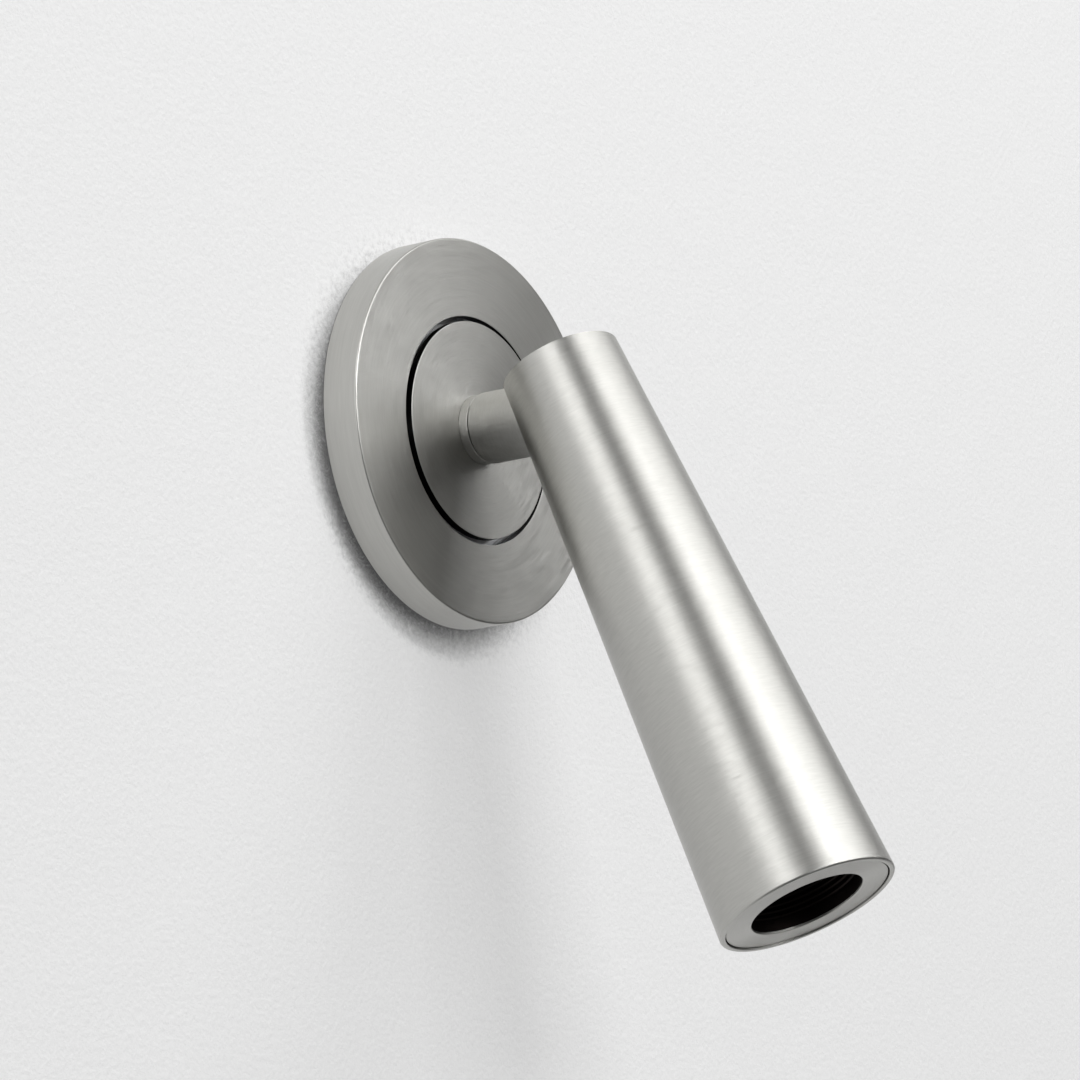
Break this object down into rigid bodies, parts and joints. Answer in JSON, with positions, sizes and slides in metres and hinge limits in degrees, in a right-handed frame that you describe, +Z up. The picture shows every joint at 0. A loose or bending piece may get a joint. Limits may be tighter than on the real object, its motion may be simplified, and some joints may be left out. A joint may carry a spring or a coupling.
{
  "type": "tube wall light",
  "caption": "Swivelling wall reading light: a tapered tubular LED head tilts on a short stem that turns in a round two-part rose.",
  "frame": {"origin": "centre of the round rose on the wall's surface, which is the plane y = 0", "axes": "+Y points into the wall, so the room is towards -Y; +Z is up; +X is to the right seen from the room"},
  "size_m": [0.088, 0.1265, 0.1681],
  "materials": {
    "satin_nickel": "satin, brushed round the axis",
    "zinc_steel": "zinc plated",
    "bracket_steel": "zinc plated pressing",
    "bare_aluminium": "machined",
    "black_aluminium": "matt black, anti-glare",
    "brass": "turned",
    "copper": "enamelled wire",
    "white_plastic": "moulded",
    "grey_plastic": "moulded",
    "black_plastic": "moulded",
    "natural_acetal": "turned",
    "black_acetal": "turned",
    "lead_sheath": "flexible sheath",
    "earth_green": "green and yellow sleeve",
    "led_lead_sheath": "silicone sleeve",
    "black_rubber": "moulded",
    "grey_pad": "soft pad",
    "board_green": "glass-fibre laminate",
    "board_white": "white solder mask on aluminium",
    "can_blue": "shrink sleeve",
    "tape_yellow": "tape-wrapped",
    "phosphor": "phosphor gel",
    "clear_lens": "clear moulded optic"
  },
  "bodies": {
    "wall_base": {"wall_bracket": "bracket_steel", "earth_ring_terminal": "zinc_steel", "earth_washer": "brass", "earth_screw": "brass", "earth_lead": "earth_green", "terminal_block": "white_plastic", "terminal_screws": "zinc_steel", "terminal_block_screw": "zinc_steel", "lead_plug": "grey_plastic", "supply_lead": "lead_sheath", "carrier_plate": "bare_aluminium", "carrier_screws": "zinc_steel", "stop_pin": "zinc_steel", "rose_ring": "satin_nickel", "inner_disc": "satin_nickel", "base_collar": "satin_nickel", "swivel_bush": "natural_acetal", "thrust_washer": "black_acetal"},
    "stem": {"stem_tube": "satin_nickel", "threaded_spindle": "zinc_steel", "spring_washer": "zinc_steel", "stop_washer": "zinc_steel", "spindle_nuts": "brass", "knuckle": "zinc_steel", "stem_lead": "lead_sheath"},
    "head": {"head_shell": "satin_nickel", "head_cap": "satin_nickel", "hinge_yoke": "bare_aluminium", "pivot_screws": "zinc_steel", "friction_washers": "black_acetal", "hinge_yoke_screws": "zinc_steel", "lead_grommet": "black_rubber", "head_lead": "lead_sheath", "driver_case": "white_plastic", "driver_lid": "white_plastic", "driver_board": "board_green", "driver_capacitor": "can_blue", "driver_transformer": "tape_yellow", "driver_inductor": "copper", "driver_chip": "black_plastic", "led_leads": "led_lead_sheath", "heat_sink": "bare_aluminium", "thermal_pad": "grey_pad", "led_board": "board_white", "led_emitter": "phosphor", "led_board_screws": "zinc_steel", "lens_holder": "black_plastic", "lens": "clear_lens", "baffle": "black_aluminium", "bezel_ring": "satin_nickel"}
  },
  "joints": [
    {"name": "stem_swivel", "type": "hinge", "parent": "wall_base", "child": "stem", "pos_m": [0, -0.01243, 0], "axis": [0, -1, 0], "range_deg": [-165, 165]},
    {"name": "head_tilt", "type": "hinge", "parent": "stem", "child": "head", "pos_m": [0, -0.0382, 0], "axis": [-1, 0, 0], "range_deg": [-23.31, 66.69]}
  ]
}
